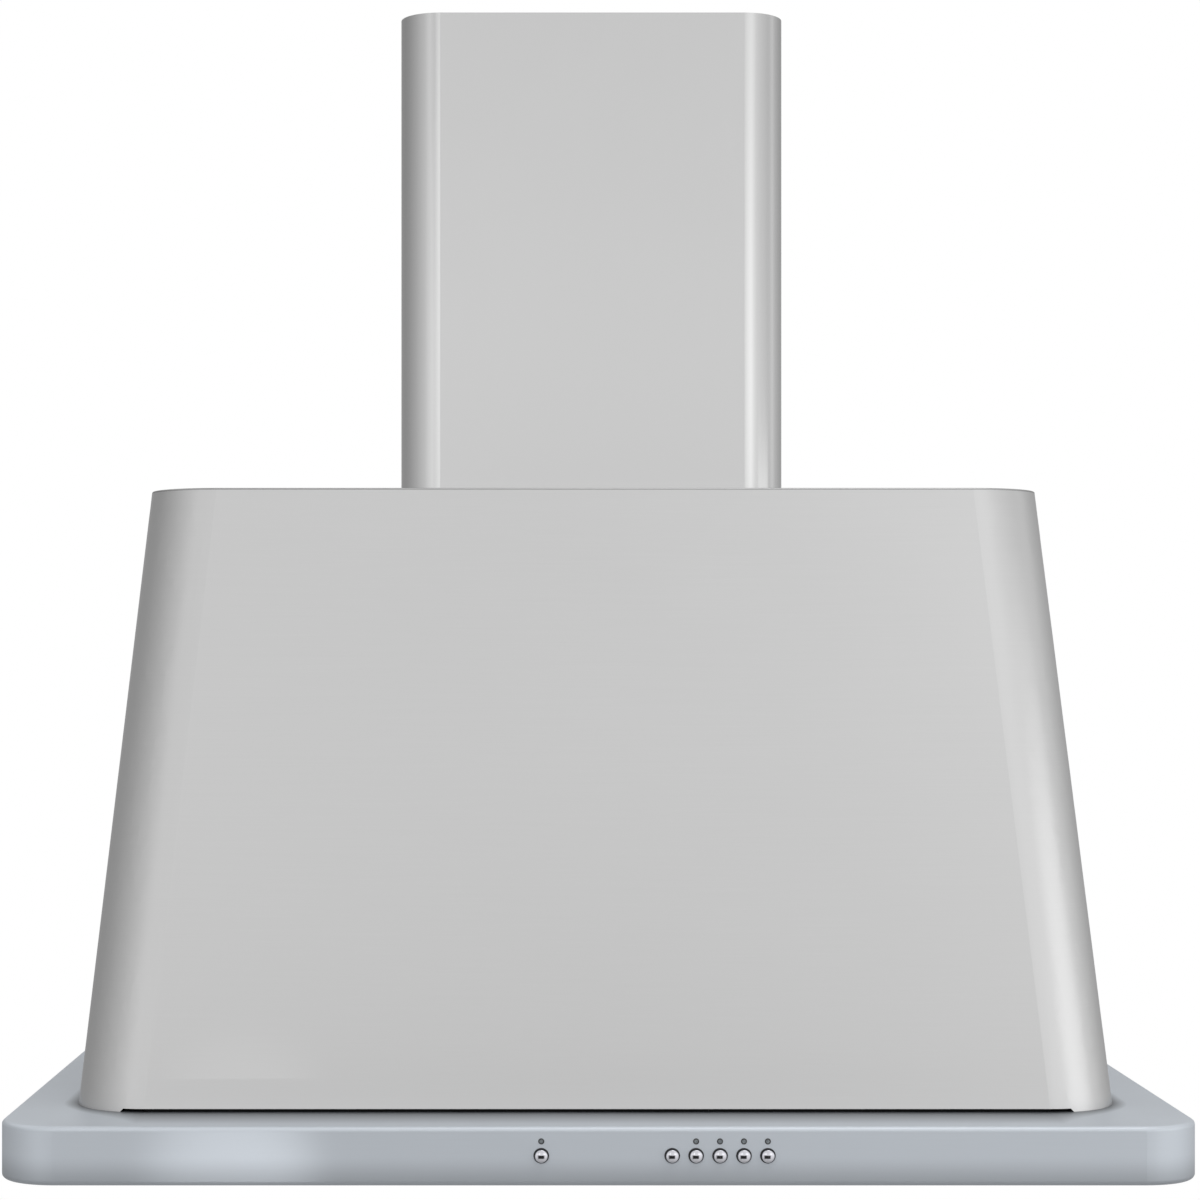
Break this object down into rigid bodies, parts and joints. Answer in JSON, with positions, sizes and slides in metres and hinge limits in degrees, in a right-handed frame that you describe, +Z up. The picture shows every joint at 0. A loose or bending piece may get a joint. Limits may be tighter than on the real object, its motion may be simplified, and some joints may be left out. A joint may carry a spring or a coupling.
{
  "type": "chimney range hood",
  "caption": "Wall-mounted chimney range hood: tapered canopy on a shallow control tray, telescopic chimney cover, blower, damper flaps and tilting baffle grease filters.",
  "frame": {"origin": "on the wall plane, on the centre line, level with the underside of the tray", "axes": "+Z up, +Y into the wall, front faces -Y, +X to the right seen from the front"},
  "size_m": [0.9, 0.5046, 0.919],
  "materials": {
    "canopy_steel": "fine satin brushed stainless steel",
    "tray_steel": "satin stainless steel, slightly bluish",
    "chimney_steel": "fine satin brushed stainless steel",
    "panel_steel": "brushed stainless steel",
    "filter_steel": "brushed stainless steel",
    "galvanised_steel": "galvanised sheet",
    "chrome": "polished chrome",
    "black_rubber": "matt black rubber",
    "black_plastic": "matt black plastic",
    "grey_plastic": "matt grey plastic",
    "white_plastic": "matt white plastic",
    "lens": "frosted clear lens",
    "indicator": "dark smoked indicator lens",
    "board": "green circuit board",
    "aluminium": "cast aluminium",
    "motor_paint": "dark grey motor enamel",
    "screw_steel": "zinc plated screws"
  },
  "bodies": {
    "hood": {"tray_shell": "tray_steel", "underside_panel": "panel_steel", "filter_rails": "panel_steel", "canopy_shell": "canopy_steel", "gap_seal": "black_rubber", "canopy_top_plate": "canopy_steel", "canopy_back_panel": "galvanised_steel", "chimney_lower": "chimney_steel", "blower_wrap": "galvanised_steel", "blower_plate_left": "galvanised_steel", "blower_plate_right": "galvanised_steel", "outlet_transition": "galvanised_steel", "motor_body": "motor_paint", "motor_bracket": "galvanised_steel", "motor_mounts": "black_rubber", "duct_collar": "black_plastic", "damper_rod": "screw_steel", "capacitor": "white_plastic", "capacitor_clip": "galvanised_steel", "junction_box": "grey_plastic", "junction_box_lid": "grey_plastic", "mains_gland": "black_plastic", "led_driver": "white_plastic", "control_box": "black_plastic", "control_board": "board", "switch_bodies": "black_plastic", "led_indicators": "indicator", "button_guides": "black_plastic", "lamp_bezels": "chrome", "lamp_lenses": "lens", "lamp_bodies": "aluminium", "lead_motor": "black_plastic", "lead_controls": "black_plastic", "leads_lamp": "black_plastic", "pan_screws": "screw_steel", "short_screws": "screw_steel", "countersunk_screws": "screw_steel"},
    "button_light": {"button_light": "chrome"},
    "button_speed_0": {"button_speed_0": "chrome"},
    "button_speed_1": {"button_speed_1": "chrome"},
    "button_speed_2": {"button_speed_2": "chrome"},
    "button_speed_3": {"button_speed_3": "chrome"},
    "button_speed_4": {"button_speed_4": "chrome"},
    "fan_wheel": {"impeller": "galvanised_steel", "motor_shaft": "screw_steel"},
    "damper_front": {"flap_front": "black_plastic"},
    "damper_rear": {"flap_rear": "black_plastic"},
    "upper_cover": {"chimney_upper": "chimney_steel"},
    "filter_1": {"filter_frame_1": "filter_steel", "filter_baffles_1": "filter_steel"},
    "latch_1": {"filter_latch_1": "filter_steel"},
    "filter_2": {"filter_frame_2": "filter_steel", "filter_baffles_2": "filter_steel"},
    "latch_2": {"filter_latch_2": "filter_steel"},
    "filter_3": {"filter_frame_3": "filter_steel", "filter_baffles_3": "filter_steel"},
    "latch_3": {"filter_latch_3": "filter_steel"}
  },
  "joints": [
    {"name": "button_light_press", "type": "slide", "parent": "hood", "child": "button_light", "axis": [0, 1, 0], "range_m": [0, 0.002], "stiffness_N_per_m": 400, "springref_m": -0.003},
    {"name": "button_speed_0_press", "type": "slide", "parent": "hood", "child": "button_speed_0", "axis": [0, 1, 0], "range_m": [0, 0.002], "stiffness_N_per_m": 400, "springref_m": -0.003},
    {"name": "button_speed_1_press", "type": "slide", "parent": "hood", "child": "button_speed_1", "axis": [0, 1, 0], "range_m": [0, 0.002], "stiffness_N_per_m": 400, "springref_m": -0.003},
    {"name": "button_speed_2_press", "type": "slide", "parent": "hood", "child": "button_speed_2", "axis": [0, 1, 0], "range_m": [0, 0.002], "stiffness_N_per_m": 400, "springref_m": -0.003},
    {"name": "button_speed_3_press", "type": "slide", "parent": "hood", "child": "button_speed_3", "axis": [0, 1, 0], "range_m": [0, 0.002], "stiffness_N_per_m": 400, "springref_m": -0.003},
    {"name": "button_speed_4_press", "type": "slide", "parent": "hood", "child": "button_speed_4", "axis": [0, 1, 0], "range_m": [0, 0.002], "stiffness_N_per_m": 400, "springref_m": -0.003},
    {"name": "fan_spin", "type": "hinge", "parent": "hood", "child": "fan_wheel", "pos_m": [0, -0.2281, 0.2695], "axis": [1, 0, 0], "continuous": true},
    {"name": "damper_front_swing", "type": "hinge", "parent": "hood", "child": "damper_front", "pos_m": [0, -0.1466, 0.552], "axis": [-1, 0, 0], "range_deg": [0, 75]},
    {"name": "damper_rear_swing", "type": "hinge", "parent": "hood", "child": "damper_rear", "pos_m": [0, -0.1466, 0.552], "axis": [1, 0, 0], "range_deg": [0, 75]},
    {"name": "upper_cover_slide", "type": "slide", "parent": "hood", "child": "upper_cover", "axis": [0, 0, 1], "range_m": [0, 0.26]},
    {"name": "filter_1_tilt", "type": "hinge", "parent": "hood", "child": "filter_1", "pos_m": [0, -0.0671, 0.0091], "axis": [1, 0, 0], "range_deg": [0, 50]},
    {"name": "latch_1_pull", "type": "slide", "parent": "filter_1", "child": "latch_1", "axis": [0, 1, 0], "range_m": [0, 0.005], "stiffness_N_per_m": 600, "springref_m": -0.004},
    {"name": "filter_2_tilt", "type": "hinge", "parent": "hood", "child": "filter_2", "pos_m": [0, -0.0671, 0.0091], "axis": [1, 0, 0], "range_deg": [0, 50]},
    {"name": "latch_2_pull", "type": "slide", "parent": "filter_2", "child": "latch_2", "axis": [0, 1, 0], "range_m": [0, 0.005], "stiffness_N_per_m": 600, "springref_m": -0.004},
    {"name": "filter_3_tilt", "type": "hinge", "parent": "hood", "child": "filter_3", "pos_m": [0, -0.0671, 0.0091], "axis": [1, 0, 0], "range_deg": [0, 50]},
    {"name": "latch_3_pull", "type": "slide", "parent": "filter_3", "child": "latch_3", "axis": [0, 1, 0], "range_m": [0, 0.005], "stiffness_N_per_m": 600, "springref_m": -0.004}
  ]
}
